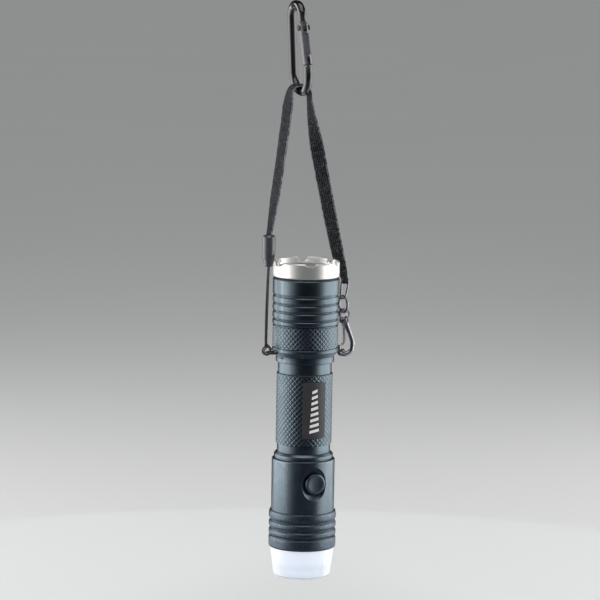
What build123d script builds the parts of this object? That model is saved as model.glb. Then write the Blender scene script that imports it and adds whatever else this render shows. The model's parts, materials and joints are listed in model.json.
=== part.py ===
from build123d import *
import os
from math import atan2, cos, degrees, hypot, pi, radians, sin, tan

# Hanging tactical torch with a lantern tail, a wrist strap and a small carabiner. Millimetres, +Z up.
# The origin is where a bar bears inside the top of the carabiner. The torch hangs below, on a vertical
# axis, lens up. Depths are measured down from the bezel's rim, and radii from the torch's axis.

# Where the torch hangs
RIM_BELOW_ORIGIN = 127.6
AXIS_X = 6.8

# Head
HEAD_R = 17.0
BEZEL_DEPTH = 7.7
HEAD_TOP = 8.8
LENS_SEAT = 17.2
HEAD_THREAD_R = 15.5
CHAMBER_R = 14.6
HEAD_SHOULDER = 46.6
HEAD_END = 51.9
HEAD_REAR_R = 15.0
HEAD_KNURL_R = 16.75
HEAD_GROOVE_R = 16.3
HEAD_GROOVES = (15.3, 19.4, 23.6, 27.7)
HEAD_GROOVE_WIDTH = 1.6
BEZEL_NOTCHES = 6
NOTCH_TURN = 7.3
NOTCH_MOUTH, NOTCH_FLOOR, NOTCH_DEPTH = 5.5, 2.0, 2.3

# Grip tube
NECK_R = 13.8
GRIP_R = 14.3
GRIP_TOP = 57.6
GRIP_END = 94.0
TUBE_TOP = 29.5
TUBE_END = 98.5
TUBE_FOOT_R = 13.7
BORE_R = 11.25
THREAD_R = 12.0
PILL_DEPTH = 5.0
RUNNING_GAP = 0.05
LABEL_TOP, LABEL_END = 61.0, 89.9
LABEL_HALF_WIDTH = 25.0
LABEL_THICK = 0.4

# Battery, a 65 mm cell in a plastic sleeve
CELL_R = 9.2
CELL_LENGTH = 65.0
CELL_TOP = 37.5
SLEEVE_R = 11.15

# Tail
BARREL_R = 16.2
BARREL_TOP = 102.1
BARREL_END = 129.0
SPIGOT_TOP = 90.5
SPIGOT_END = 139.0
SPIGOT_R = 14.5
TAIL_CHAMBER_R = 11.6
TAIL_BOARD_TOP = 105.5
BOARD = 1.6
COLLAR_R = 17.3
COLLAR_END = 148.0
COLLAR_GROOVES = (133.8, 138.0, 142.1)
COLLAR_GROOVE_R = 16.75
TORCH_END = 163.5
DIFFUSER_TOP_R, DIFFUSER_END_R = 16.4, 14.6
DIFFUSER_WALL = 1.7
DIFFUSER_NECK_R = 15.3
DIFFUSER_NECK_TOP = 143.0

# Side button, on a radius turned to the right of the front; nameplate and scoop are turned a little less
BUTTON_TURN = 24.5
PLATE_TURN = 22.0
BUTTON_DEPTH = 113.4
BUTTON_R = 5.4
BUTTON_LIP_R = BUTTON_R + 0.5
BUTTON_FACE = 15.9
BUTTON_LIP = 11.9
SCOOP_R = 13.3
SCOOP_CENTRE = 26.3

# Lanyard
EYELET_TURN = 20.0
EYELET_DEPTH = 47.0
EYELET_REACH = 20.9
LOOP_SHIFT = 0.4
WIRE_R = 0.6
HOOK_R = 1.25
STRAP_TUBE_R = 1.6
CORD_R = 0.75
FERRULE_R = 3.3
FERRULE_TOP, FERRULE_END = -13.4, 2.6
FERRULE_AT = (-19.2, -7.0)

# Carabiner: a D of round bar, narrow end up, turned and leaning a little
CARABINER_TURN = 20.0
CARABINER_LEAN = 3.0
BAR_R = 2.1
GATE_R = 2.4
GATE_SLOT = 2.0

# Lines and points of the bar's centre line and the gate, in the carabiner's own plane
TOP_LINE = BAR_R
LOW_BACK, LOW_FRONT = -40.4, -43.0
SPINE = -8.6
NARROW_END = 6.2
WIDE_END = 14.0
CORNER_RADII = (9.8, 9.8, 7.0, 7.0)
GATE_TOP = (8.5, -9.3)
GATE_FOOT = (12.6, -25.7)
GATE_ANGLE = degrees(atan2(GATE_FOOT[1] - GATE_TOP[1], GATE_FOOT[0] - GATE_TOP[0]))
GATE_LENGTH = hypot(GATE_FOOT[0] - GATE_TOP[0], GATE_FOOT[1] - GATE_TOP[1])


def level(depth):
    """Height of a point a given depth below the bezel's rim."""
    return -RIM_BELOW_ORIGIN - depth


def lathe(outline):
    """Solid of revolution about the torch's axis, from (radius, depth) points."""
    points = [(radius, level(depth)) for radius, depth in outline]
    turned = revolve(Plane.XZ * make_face(Polyline(*points, close=True)), axis=Axis.Z)
    return Pos(AXIS_X, 0, 0) * turned


def disc(radius, top, end, hole=0.0):
    """Plain disc or ring on the torch's axis."""
    return lathe([(hole, top), (radius, top), (radius, end), (hole, end)])


def o_ring(major, minor, depth):
    """Round-section ring on the torch's axis."""
    return Pos(AXIS_X, 0, level(depth)) * Torus(major, minor)


def spoke(turn):
    """Unit vector out from the torch's axis, turned to the right of the front."""
    return Vector(sin(radians(turn)), -cos(radians(turn)), 0)


def on_spoke(turn, distance, depth):
    """Point at a distance from the torch's axis along a spoke."""
    return Vector(AXIS_X, 0, level(depth)) + spoke(turn) * distance


def rod(turn, depth, radius, start, end):
    """Cylinder that lies along a spoke, between two distances from the axis."""
    plane = Plane(on_spoke(turn, start, depth), x_dir=(0, 0, 1), z_dir=spoke(turn))
    return extrude(plane * Circle(radius), end - start)


def slab(turn, depth, width, height, start, end):
    """Box that faces along a spoke, between two distances from the axis."""
    plane = Plane(on_spoke(turn, start, depth), x_dir=(0, 0, 1), z_dir=spoke(turn))
    return extrude(plane * Rectangle(height, width), end - start)


def tube(path, radius):
    """Round bar along a path."""
    return sweep(Plane(path @ 0, z_dir=path % 0) * Circle(radius), path=path)


def coil(radius, wire, top, end, turns):
    """Coil spring on the torch's axis, its wire held between two depths."""
    height = end - top - 2 * wire
    path = Helix(height / turns, height, radius)
    spring = sweep(Plane(path @ 0, z_dir=path % 0) * Circle(wire), path=path)
    return Pos(AXIS_X, 0, level(end) + wire) * spring


# ---------------------------------------------------------------- head

def bezel_ring():
    """Strike bezel: flared mouth, rounded rim, six crown notches, thread skirt below."""
    ring = lathe([
        (15.6, 0.35), (15.9, 0.05), (16.4, 0.05), (16.85, 0.4), (HEAD_R, 0.9),
        (HEAD_R, BEZEL_DEPTH - 0.4), (HEAD_R - 0.4, BEZEL_DEPTH), (16.0, BEZEL_DEPTH),
        (16.0, HEAD_TOP), (HEAD_THREAD_R, HEAD_TOP), (HEAD_THREAD_R, 14.0),
        (13.2, 14.0), (13.2, 4.6),
    ])
    wide, narrow = NOTCH_MOUTH / 2, NOTCH_FLOOR / 2
    notch = make_face(Polyline(
        (-wide - 1, level(-1)), (wide + 1, level(-1)), (wide, level(0)), (narrow, level(NOTCH_DEPTH)),
        (-narrow, level(NOTCH_DEPTH)), (-wide, level(0)), close=True))
    cutter = extrude(Plane.XZ * notch, 22)
    for index in range(BEZEL_NOTCHES):
        turn = NOTCH_TURN + index * 360 / BEZEL_NOTCHES
        ring -= Pos(AXIS_X, 0, 0) * Rot(0, 0, turn) * cutter
    return ring


def bezel_seal():
    """Square-cut rubber ring in the groove between bezel and head."""
    return disc(16.5, BEZEL_DEPTH, HEAD_TOP, 16.0)


def lens():
    """Plano-convex lens with a flat flange."""
    flange_top, dome_r, dome_high = 15.0, 13.0, 9.4
    ball = (dome_r ** 2 + dome_high ** 2) / (2 * dome_high)
    dome = Pos(AXIS_X, 0, level(flange_top) + dome_high - ball) * Sphere(ball)
    dome &= disc(dome_r + 1, flange_top - dome_high - 1, flange_top)
    return dome + disc(HEAD_THREAD_R - 0.2, flange_top, LENS_SEAT)


def lens_gasket():
    """Flat gasket between the bezel's skirt and the lens."""
    return disc(HEAD_THREAD_R - 0.1, 14.0, 15.0, 13.4)


def head_shell():
    """Head: plain band, four soft grooves, knurled band, rim, taper and rear ring."""
    outline = [(HEAD_THREAD_R + 0.05, HEAD_TOP), (HEAD_R - 0.3, HEAD_TOP), (HEAD_R, HEAD_TOP + 0.3)]
    for top in HEAD_GROOVES:
        end = top + HEAD_GROOVE_WIDTH
        outline += [(HEAD_R, top - 0.25), (HEAD_GROOVE_R, top + 0.45),
                    (HEAD_GROOVE_R, end - 0.45), (HEAD_R, end + 0.25)]
    outline += [
        (HEAD_R, 32.1), (HEAD_KNURL_R - 0.25, 32.5), (HEAD_KNURL_R, 32.9), (HEAD_KNURL_R, 43.9),
        (HEAD_R, 44.2), (HEAD_R, 46.2), (HEAD_REAR_R, 49.0), (HEAD_REAR_R - 0.25, 49.3),
        (HEAD_REAR_R, 49.6), (HEAD_REAR_R, HEAD_END - 0.4), (HEAD_REAR_R - 0.4, HEAD_END),
        (NECK_R + RUNNING_GAP, HEAD_END), (NECK_R + RUNNING_GAP, HEAD_SHOULDER),
        (CHAMBER_R, HEAD_SHOULDER), (CHAMBER_R, LENS_SEAT), (HEAD_THREAD_R + 0.05, LENS_SEAT),
    ]
    shell = lathe(outline)
    for side in (-1, 1):
        shell -= eyelet(side)
    return shell


def eyelet(side, slack=0.0):
    """Wire staple in the head's taper, lying flat: side -1 is on the left, 1 on the right."""
    half, root = 2.5, 14.4
    wire = FilletPolyline((root, -half), (EYELET_REACH, -half), (EYELET_REACH, half),
                          (root, half), radius=half - 0.1)
    turn = EYELET_TURN if side > 0 else 180 + EYELET_TURN
    return Pos(AXIS_X, 0, level(EYELET_DEPTH)) * Rot(0, 0, turn) * tube(wire, WIRE_R + slack)


# ---------------------------------------------------------------- grip

def grip_tube():
    """Battery tube: smooth neck that slides in the head, knurled grip, smooth foot."""
    ring_top, ring_end = HEAD_SHOULDER - 1.2, HEAD_SHOULDER
    seal_top, seal_end = 40.2, 41.8
    body = lathe([
        (THREAD_R, TUBE_TOP), (NECK_R, TUBE_TOP),
        (NECK_R, seal_top), (13.04, seal_top), (13.04, seal_end), (NECK_R, seal_end),
        (NECK_R, ring_top), (13.3, ring_top), (13.3, ring_end), (NECK_R, ring_end),
        (NECK_R, GRIP_TOP - 0.3), (GRIP_R, GRIP_TOP + 0.2), (GRIP_R, GRIP_END - 0.2),
        (TUBE_FOOT_R, GRIP_END + 0.3), (TUBE_FOOT_R, TUBE_END), (THREAD_R + RUNNING_GAP, TUBE_END),
        (THREAD_R + RUNNING_GAP, SPIGOT_TOP - 0.3), (BORE_R, SPIGOT_TOP - 0.3),
        (BORE_R, TUBE_TOP + PILL_DEPTH), (THREAD_R, TUBE_TOP + PILL_DEPTH),
    ])
    return body - label_plate()


def label_plate():
    """Blank black nameplate let into the knurling."""
    high = LABEL_END - LABEL_TOP
    wide = 2 * (GRIP_R + 1) * sin(radians(LABEL_HALF_WIDTH))
    middle = (LABEL_TOP + LABEL_END) / 2
    plane = Plane(on_spoke(PLATE_TURN, 8, middle), x_dir=(0, 0, 1), z_dir=spoke(PLATE_TURN))
    window = extrude(plane * RectangleRounded(high, wide, 1.2), 10)
    return disc(GRIP_R, LABEL_TOP - 1, LABEL_END + 1, GRIP_R - LABEL_THICK) & window


def zoom_stop_ring():
    """Snap ring on the neck that catches on the head's shoulder."""
    ring = disc(CHAMBER_R - 0.1, HEAD_SHOULDER - 1.2, HEAD_SHOULDER, 13.3)
    return ring - slab(180, HEAD_SHOULDER - 0.6, 3.0, 4, 10, 20)


def led_pill():
    """Brass carrier of the main light, screwed into the top of the tube."""
    return lathe([(0, TUBE_TOP), (THREAD_R, TUBE_TOP), (THREAD_R, TUBE_TOP + PILL_DEPTH),
                  (10.2, TUBE_TOP + PILL_DEPTH), (10.2, TUBE_TOP + 2.2), (0, TUBE_TOP + 2.2)])


def led_emitter():
    """Square LED package with a domed lens."""
    package = slab(0, TUBE_TOP - BOARD - 0.3, 5, 0.6, -2.5, 2.5)
    dome = Pos(AXIS_X, 0, level(TUBE_TOP - BOARD - 0.6)) * Sphere(1.9)
    dome &= disc(3, TUBE_TOP - BOARD - 3.5, TUBE_TOP - BOARD - 0.6)
    return package + dome


def battery_cell():
    """Rechargeable cell, contact nub up."""
    nub = 1.0
    end = CELL_TOP + CELL_LENGTH
    return lathe([(0, CELL_TOP), (3.2, CELL_TOP), (3.2, CELL_TOP + nub), (CELL_R - 0.6, CELL_TOP + nub),
                  (CELL_R, CELL_TOP + nub + 0.6), (CELL_R, end - 0.4), (CELL_R - 0.4, end), (0, end)])


# ---------------------------------------------------------------- tail

def tail_barrel():
    """Tail housing: thread spigot, stepped shoulder, thumb scoop, button bore, lower spigot."""
    barrel = lathe([
        (9.7, SPIGOT_TOP), (THREAD_R, SPIGOT_TOP), (THREAD_R, 93.4), (10.98, 93.4), (10.98, 94.6),
        (THREAD_R, 94.6), (THREAD_R, TUBE_END), (14.2, TUBE_END), (15.2, 99.6), (15.2, 100.9),
        (14.9, 101.2), (14.9, 101.6), (15.5, 101.75), (16.0, BARREL_TOP), (BARREL_R, 102.8),
        (BARREL_R, BARREL_END), (SPIGOT_R, BARREL_END), (SPIGOT_R, SPIGOT_END),
        (TAIL_CHAMBER_R, SPIGOT_END), (TAIL_CHAMBER_R, TAIL_BOARD_TOP), (9.7, TAIL_BOARD_TOP),
    ])
    barrel -= Pos(*on_spoke(PLATE_TURN, SCOOP_CENTRE, BUTTON_DEPTH)) * Sphere(SCOOP_R)
    barrel -= rod(BUTTON_TURN, BUTTON_DEPTH, BUTTON_R + RUNNING_GAP, 8, 20)
    barrel -= rod(BUTTON_TURN, BUTTON_DEPTH, BUTTON_LIP_R + 0.4, 6, BUTTON_LIP)
    return barrel - board_screws()


def button_cap():
    """Round metal button: slightly dished face, rounded rim, retaining lip and stem."""
    cap = rod(BUTTON_TURN, BUTTON_DEPTH, BUTTON_R, BUTTON_LIP, BUTTON_FACE)
    rim = cap.edges().filter_by(GeomType.CIRCLE).sort_by(lambda e: -(e.center() - on_spoke(
        BUTTON_TURN, 30, BUTTON_DEPTH)).length)[-1]
    cap = fillet(rim, 0.7)
    cap -= Pos(*on_spoke(BUTTON_TURN, BUTTON_FACE + 29.75, BUTTON_DEPTH)) * Sphere(30)
    cap += rod(BUTTON_TURN, BUTTON_DEPTH, BUTTON_LIP_R, BUTTON_LIP - 0.8, BUTTON_LIP)
    return cap + rod(BUTTON_TURN, BUTTON_DEPTH, 1.5, 9.6, BUTTON_LIP)


def button_boot():
    """Silicone cup behind the button, round its lip."""
    cup = rod(BUTTON_TURN, BUTTON_DEPTH, BUTTON_LIP_R + 0.38, 9.3, BUTTON_LIP)
    cup -= rod(BUTTON_TURN, BUTTON_DEPTH, BUTTON_LIP_R + 0.1, 10.05, BUTTON_LIP)
    return cup - rod(BUTTON_TURN, BUTTON_DEPTH, 2.2, 9, 11)


def tact_switch():
    """Switch under the button, with a well for its plunger."""
    body = slab(BUTTON_TURN, BUTTON_DEPTH, 6, 6, 6.2, 8.8)
    return body - rod(BUTTON_TURN, BUTTON_DEPTH, 1.75, 7.2, 9)


def tail_collar():
    """Ribbed grip collar over the lower spigot, which also holds the diffuser's neck."""
    outline = [(SPIGOT_R, BARREL_END), (COLLAR_R - 0.6, BARREL_END), (COLLAR_R, BARREL_END + 0.6)]
    for middle in COLLAR_GROOVES:
        outline += [
            (COLLAR_R, middle - 1.1), (COLLAR_R - 0.2, middle - 0.6), (COLLAR_GROOVE_R, middle - 0.2),
            (COLLAR_GROOVE_R, middle + 0.2), (COLLAR_R - 0.2, middle + 0.6), (COLLAR_R, middle + 1.1),
        ]
    outline += [
        (COLLAR_R, COLLAR_END - 0.5), (COLLAR_R - 0.5, COLLAR_END), (DIFFUSER_NECK_R, COLLAR_END),
        (DIFFUSER_NECK_R, DIFFUSER_NECK_TOP - 0.8), (13.4, DIFFUSER_NECK_TOP - 0.8),
        (13.4, SPIGOT_END), (SPIGOT_R, SPIGOT_END),
    ]
    return lathe(outline)


def diffuser():
    """Frosted lantern cup: neck in the collar, tapering wall, flat bottom with a rounded edge."""
    inner = DIFFUSER_NECK_R - DIFFUSER_WALL
    edge = 1.8
    corner = [(DIFFUSER_END_R - edge * (1 - cos(angle)), TORCH_END - edge * (1 - sin(angle)))
              for angle in (radians(step * 15) for step in range(7))]
    outline = [(inner, DIFFUSER_NECK_TOP), (DIFFUSER_NECK_R, DIFFUSER_NECK_TOP),
               (DIFFUSER_NECK_R, COLLAR_END), (DIFFUSER_TOP_R, COLLAR_END)]
    outline += corner
    outline += [(0, TORCH_END), (0, TORCH_END - DIFFUSER_WALL), (inner - 1.4, TORCH_END - DIFFUSER_WALL)]
    return lathe(outline)


def lantern_carrier():
    """White plastic post that holds the lantern's board down inside the diffuser."""
    post = lathe([(0, SPIGOT_END), (13.3, SPIGOT_END), (13.3, 141.0), (8.0, 141.0),
                  (8.0, 150.0), (0, 150.0)])
    for turn in (150, 210):
        post -= wire_run(turn, SPIGOT_END - 1, 151, 0.7)
    return post


def wire_run(turn, top, end, radius):
    """Straight insulated wire parallel to the axis, inside the tail."""
    place = on_spoke(turn, 6.0, end)
    return Pos(place.X, place.Y, place.Z) * Cylinder(
        radius, end - top, align=(Align.CENTER, Align.CENTER, Align.MIN))


def lantern_leds():
    """Ring of seven small LEDs under the lantern's board."""
    spots = [(0.0, 0.0)] + [(5.6, 60.0 * index) for index in range(6)]
    leds = []
    for distance, turn in spots:
        place = on_spoke(turn, distance, 151.65)
        leds.append(Pos(place.X, place.Y, place.Z) * Rot(0, 0, turn) * Box(2.8, 2.8, 0.9))
    return Compound(children=leds)


def board_screws():
    """Two countersunk screws that hold the tail's contact board."""
    screws = []
    for turn in (112, 292):
        place = on_spoke(turn, 10.6, TAIL_BOARD_TOP + BOARD)
        head = Pos(place.X, place.Y, place.Z - 0.4) * Cylinder(0.8, 0.8)
        shank = Pos(place.X, place.Y, place.Z + 1.9) * Cylinder(0.45, 3.8)
        screws.append(head + shank)
    return Compound(children=screws)


# ---------------------------------------------------------------- lanyard

def hook_place(height_depth):
    """Point on the line of the hook and its rings, at a depth."""
    return on_spoke(90 + EYELET_TURN, EYELET_REACH, height_depth)


def hook_plane():
    """Plane of the hook: local x out from the torch, local y up, at the rim's level."""
    out = spoke(90 + EYELET_TURN)
    return Plane(hook_place(0), x_dir=out, z_dir=out.cross(Vector(0, 0, 1)))


def strap_points():
    """Route of the strap from the ferrule's top, over the carabiner, to the loop behind the head."""
    end = on_spoke(90 + EYELET_TURN, EYELET_REACH + LOOP_SHIFT, 10.9)
    return [
        Vector(AXIS_X + FERRULE_AT[0], FERRULE_AT[1], level(FERRULE_TOP)),
        Vector(AXIS_X - 14.6, -4.6, level(-46.0)),
        Vector(AXIS_X - 10.7, -1.4, level(-79.0)),
        Vector(AXIS_X - 9.6, 0.0, level(-90.2)),
        Vector(AXIS_X - 0.2, 0.0, level(-90.2)),
        Vector(AXIS_X + 0.2, 0.6, level(-79.0)),
        Vector(AXIS_X + 7.6, 5.2, level(-41.0)),
        Vector(AXIS_X + 16.0, 10.8, level(-1.5)),
        end + Vector(-0.55, 0.35, 1.2),
        end - Vector(0, 0, 1.2),
    ]


def corner_radii(points):
    """Arc radius for each corner: 0.45 of the shorter run over the tangent of half the turn."""
    radii = []
    for before, corner, after in zip(points, points[1:], points[2:]):
        run_in, run_out = corner - before, after - corner
        half_turn = radians(run_in.get_angle(run_out)) / 2
        radii.append(0.45 * min(run_in.length, run_out.length) / tan(half_turn))
    return radii


def strap():
    """Wrist strap, a round stand-in with the section area of the flat webbing."""
    points = strap_points()
    radii = corner_radii(points)
    print("strap radii", [round(radius, 1) for radius in radii])
    path = FilletPolyline(*points, radius=radii)
    solid = tube(path, STRAP_TUBE_R)
    area = pi * STRAP_TUBE_R ** 2
    print("strap length", round(path.length, 1), "volume ratio", round(solid.volume / area / path.length, 3))
    return solid - strap_loop() - strap_ferrule()


def strap_loop():
    """Wire loop in the strap's sewn end, narrower towards the jump ring."""
    top, end = -11.3, -20.25
    outline = Polyline((LOOP_SHIFT - 1.9, top), (LOOP_SHIFT + 1.9, top), (0.6, end), (-2.2, end), close=True)
    wire = fillet(make_face(outline).vertices(), 0.7).wire()
    path = hook_plane() * wire
    return sweep(Plane(path @ 0.1, z_dir=path % 0.1) * Circle(0.5), path=path)


def jump_ring():
    """Round ring that joins the strap's loop to the hook's eye."""
    place = on_spoke(90 + EYELET_TURN, EYELET_REACH - 0.45, 23.2)
    return Plane(place, z_dir=spoke(100 + EYELET_TURN)) * Torus(4.2, WIRE_R)


def hook_outline():
    """Centre line of the hook, in the hook's plane."""
    return FilletPolyline((0.5, -30.6), (2.0, -34.9), (5.0, -42.9), (4.5, -48.1), (0.7, -49.2),
                          (-2.3, -48.6), (-2.4, -45.4), radius=(4.0, 5.0, 2.6, 2.4, 1.3))


def hook_body():
    """Snap hook: eye at the top, bowed arm, turned-up nose."""
    plane = hook_plane()
    thick = 2.4
    eye = make_face(hook_eye_outline())
    eye = extrude(plane * eye, thick / 2, both=True)
    eye -= plane * Pos(0, -28.35) * Cylinder(1.9, 6)
    arm = tube(plane * hook_outline(), HOOK_R)
    arm += plane * Pos(-2.4, -45.4) * Sphere(HOOK_R)
    slot = plane * Pos(-0.9, -34.9) * Box(6.4, 9.6, 1.3)
    return eye + arm - slot - plane * Pos(-0.4, -31.9) * Cylinder(0.6, 6)


def hook_eye_outline():
    """Rounded plate round the hook's eye and rivet."""
    plate = Pos(0, -28.35) * Circle(2.8) + Pos(0, -31.4) * RectangleRounded(4.2, 3.4, 1.0)
    return plate.faces()[0].outer_wire()


def hook_gate():
    """Sprung gate lever of the hook, which closes against the nose."""
    plane = hook_plane()
    lever = Polyline((-1.2, -30.7), (0.3, -30.7), (0.9, -32.3), (0.6, -36.0), (0.9, -41.8), (0.2, -43.9),
                     (-0.75, -44.7), (-1.15, -43.9), (-0.5, -43.1), (-0.25, -41.5), (-0.6, -36.0),
                     (-1.3, -32.3), close=True)
    gate = extrude(plane * make_face(lever), 0.6, both=True)
    return gate - plane * Pos(-0.4, -31.9) * Cylinder(0.62, 6)


def hook_rivet():
    """Rivet that the hook's gate turns on."""
    plane = hook_plane()
    place = plane * Pos(-0.4, -31.9)
    return place * Cylinder(0.58, 2.6) + place * Pos(0, 0, 1.55) * Cylinder(1.0, 0.5) + \
        place * Pos(0, 0, -1.55) * Cylinder(1.0, 0.5)


def strap_ferrule():
    """Moulded sleeve over the joint of strap and thin cord, tapered at its foot."""
    length = FERRULE_END - FERRULE_TOP
    taper = 4.6
    sketch = Polyline((0, 0), (2.35, 0), (FERRULE_R, taper), (FERRULE_R, length - 0.5),
                      (FERRULE_R - 0.5, length), (0, length), close=True)
    turned = revolve(Plane.XZ * make_face(sketch), axis=Axis.Z)
    return Pos(AXIS_X + FERRULE_AT[0], FERRULE_AT[1], level(FERRULE_END)) * turned


def cord_points():
    """Route of the thin doubled cord from the ferrule's foot to the knot on the left eyelet."""
    knot = on_spoke(270 + EYELET_TURN, EYELET_REACH, EYELET_DEPTH)
    return [Vector(AXIS_X + FERRULE_AT[0], FERRULE_AT[1], level(FERRULE_END)),
            Vector(AXIS_X + FERRULE_AT[0] - 0.35, FERRULE_AT[1] - 0.1, level(23.0)),
            Vector(knot.X, knot.Y, level(EYELET_DEPTH - 3.4))]


def lanyard_cord():
    """Thin cord between ferrule and knot."""
    points = cord_points()
    path = FilletPolyline(*points, radius=corner_radii(points))
    print("cord length", round(path.length, 1))
    return tube(path, CORD_R)


def cord_knot():
    """Lark's head of thin cord round the left eyelet: two turns and the bight that holds them."""
    centre = on_spoke(270 + EYELET_TURN, EYELET_REACH, EYELET_DEPTH)
    along = spoke(EYELET_TURN)
    knot = None
    for offset in (-1, 1):
        ring = Plane(centre + along * offset * 0.85, z_dir=along) * Torus(1.4, CORD_R)
        knot = ring if knot is None else knot + ring
    top = Plane(centre + Vector(0, 0, 1.9), z_dir=along) * Cylinder(1.0, 3.0)
    neck = Pos(centre.X, centre.Y, centre.Z + 2.65) * Cylinder(1.1, 1.5)
    return knot + top + neck - eyelet(-1, RUNNING_GAP)


# ---------------------------------------------------------------- carabiner

def carabiner_plane():
    """Plane of the carabiner: local x forward to the gate, local y up, origin where the bar bears."""
    front = spoke(CARABINER_TURN)
    lean = Vector(-sin(radians(CARABINER_LEAN)), 0, cos(radians(CARABINER_LEAN)))
    normal = front.cross(lean)
    return Plane((0, 0, 0), x_dir=front, z_dir=normal)


def along_gate(distance):
    """Point a distance down the gate's centre line from its pivot."""
    share = distance / GATE_LENGTH
    return (GATE_TOP[0] + (GATE_FOOT[0] - GATE_TOP[0]) * share,
            GATE_TOP[1] + (GATE_FOOT[1] - GATE_TOP[1]) * share)


def gate_bar(start, end, radius):
    """Round bar along the gate's line, between two distances from the pivot."""
    bar = Rot(0, 0, GATE_ANGLE) * Pos(start, 0, 0) * Rot(0, 90, 0) * Cylinder(
        radius, end - start, align=(Align.CENTER, Align.CENTER, Align.MIN))
    return Pos(*GATE_TOP) * bar


def gate_block(start, end, width, thick):
    """Flat block along the gate's line, between two distances from the pivot."""
    block = Rot(0, 0, GATE_ANGLE) * Pos((start + end) / 2, 0, 0) * Box(end - start, width, thick)
    return Pos(*GATE_TOP) * block


def carabiner_frame():
    """Bent bar of the carabiner, with a tongue at the pivot and a nose tongue at the gate's foot."""
    foot = along_gate(GATE_LENGTH + 3.0)
    start = along_gate(-3.2)
    path = FilletPolyline(foot, (WIDE_END, LOW_FRONT), (SPINE, LOW_BACK), (SPINE, TOP_LINE),
                          (NARROW_END, TOP_LINE), start, radius=CORNER_RADII)
    bar = tube(path, BAR_R)
    bar += gate_block(-3.6, 0, 3.6, GATE_SLOT - 0.2)
    bar += Pos(*GATE_TOP) * Cylinder(1.8, GATE_SLOT - 0.2)
    bar += gate_block(GATE_LENGTH - 1.6, GATE_LENGTH + 3.6, 1.8, GATE_SLOT - 0.6)
    bar -= Pos(*GATE_TOP) * Cylinder(0.8, 10)
    return carabiner_plane() * bar


def carabiner_gate():
    """Gate: round bar with a flat front, forked at the pivot and slotted at its foot."""
    gate = gate_bar(0, GATE_LENGTH + 1.9, GATE_R)
    gate += gate_bar(-GATE_R, 0, GATE_R) & Pos(*GATE_TOP) * Cylinder(GATE_R, 10)
    gate -= gate_block(-4, 2.2, 8, GATE_SLOT)
    gate -= gate_block(GATE_LENGTH - 1.9, GATE_LENGTH + 4, 8, GATE_SLOT - 0.4)
    gate -= gate_bar(2.0, 10.2, 0.95)
    front = Rot(0, 0, GATE_ANGLE) * Pos(GATE_LENGTH / 2, GATE_R + 0.9, 0) * Box(GATE_LENGTH - 6, 3, 8)
    gate -= Pos(*GATE_TOP) * front
    gate -= Pos(*GATE_TOP) * Cylinder(0.85, 10)
    return carabiner_plane() * gate


def carabiner_rivet():
    """Rivet that the gate turns on, domed at both ends."""
    rivet = Cylinder(0.8, 2 * GATE_R + 0.2)
    for side in (-1, 1):
        rivet += Pos(0, 0, side * (GATE_R + 0.28)) * Cylinder(1.5, 0.5)
    return carabiner_plane() * Pos(*GATE_TOP) * rivet


def carabiner_spring():
    """Coil inside the gate that pushes it shut."""
    path = Helix(0.9, 6.6, 0.6)
    wire = sweep(Plane(path @ 0, z_dir=path % 0) * Circle(0.2), path=path)
    wire = Rot(0, 0, GATE_ANGLE) * Pos(2.7, 0, 0) * Rot(0, 90, 0) * wire
    return carabiner_plane() * Pos(*GATE_TOP) * wire


# ---------------------------------------------------------------- all sub-parts

def sub_parts():
    """Every sub-part of the torch and its lanyard, by name."""
    board_end = TAIL_BOARD_TOP + BOARD
    return {
        "carabiner_frame": carabiner_frame(),
        "carabiner_gate": carabiner_gate(),
        "carabiner_rivet": carabiner_rivet(),
        "carabiner_spring": carabiner_spring(),
        "strap": strap(),
        "strap_ferrule": strap_ferrule(),
        "lanyard_cord": lanyard_cord(),
        "cord_knot": cord_knot(),
        "strap_loop": strap_loop(),
        "jump_ring": jump_ring(),
        "hook_body": hook_body(),
        "hook_gate": hook_gate(),
        "hook_rivet": hook_rivet(),
        "eyelet_left": eyelet(-1),
        "eyelet_right": eyelet(1),
        "bezel_ring": bezel_ring(),
        "bezel_seal": bezel_seal(),
        "lens": lens(),
        "lens_gasket": lens_gasket(),
        "head_shell": head_shell(),
        "grip_tube": grip_tube(),
        "label_plate": label_plate(),
        "zoom_stop_ring": zoom_stop_ring(),
        "zoom_o_ring": o_ring(13.79, 0.75, 41.0),
        "led_pill": led_pill(),
        "led_board": disc(10.0, TUBE_TOP - BOARD, TUBE_TOP),
        "led_emitter": led_emitter(),
        "driver_board": disc(10.2, 33.0, TUBE_TOP + PILL_DEPTH),
        "pill_spring": coil(3.4, 0.35, TUBE_TOP + PILL_DEPTH, CELL_TOP, 3),
        "battery_cell": battery_cell(),
        "battery_sleeve": disc(SLEEVE_R, 40.0, 89.8, CELL_R + 0.1),
        "tail_o_ring": o_ring(11.52, 0.5, 94.0),
        "tail_barrel": tail_barrel(),
        "tail_board": disc(TAIL_CHAMBER_R, TAIL_BOARD_TOP, board_end) - board_screws(),
        "tail_spring": coil(4.0, 0.4, CELL_TOP + CELL_LENGTH, TAIL_BOARD_TOP, 3),
        "board_screws": board_screws(),
        "switch_board": slab(BUTTON_TURN, board_end + 7.5, 13, 15, 4.6, 6.2),
        "tact_switch": tact_switch(),
        "switch_plunger": rod(BUTTON_TURN, BUTTON_DEPTH, 1.7, 8.2, 9.6),
        "button_cap": button_cap(),
        "button_boot": button_boot(),
        "tail_collar": tail_collar(),
        "diffuser_seal": disc(DIFFUSER_NECK_R, DIFFUSER_NECK_TOP - 0.8, DIFFUSER_NECK_TOP, 13.8),
        "lantern_carrier": lantern_carrier(),
        "lantern_wires": Compound(children=[
            wire_run(turn, board_end, 150, 0.6) for turn in (150, 210)]),
        "lantern_board": disc(9.0, 150.0, 151.2),
        "lantern_leds": lantern_leds(),
        "diffuser": diffuser(),
    }


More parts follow.
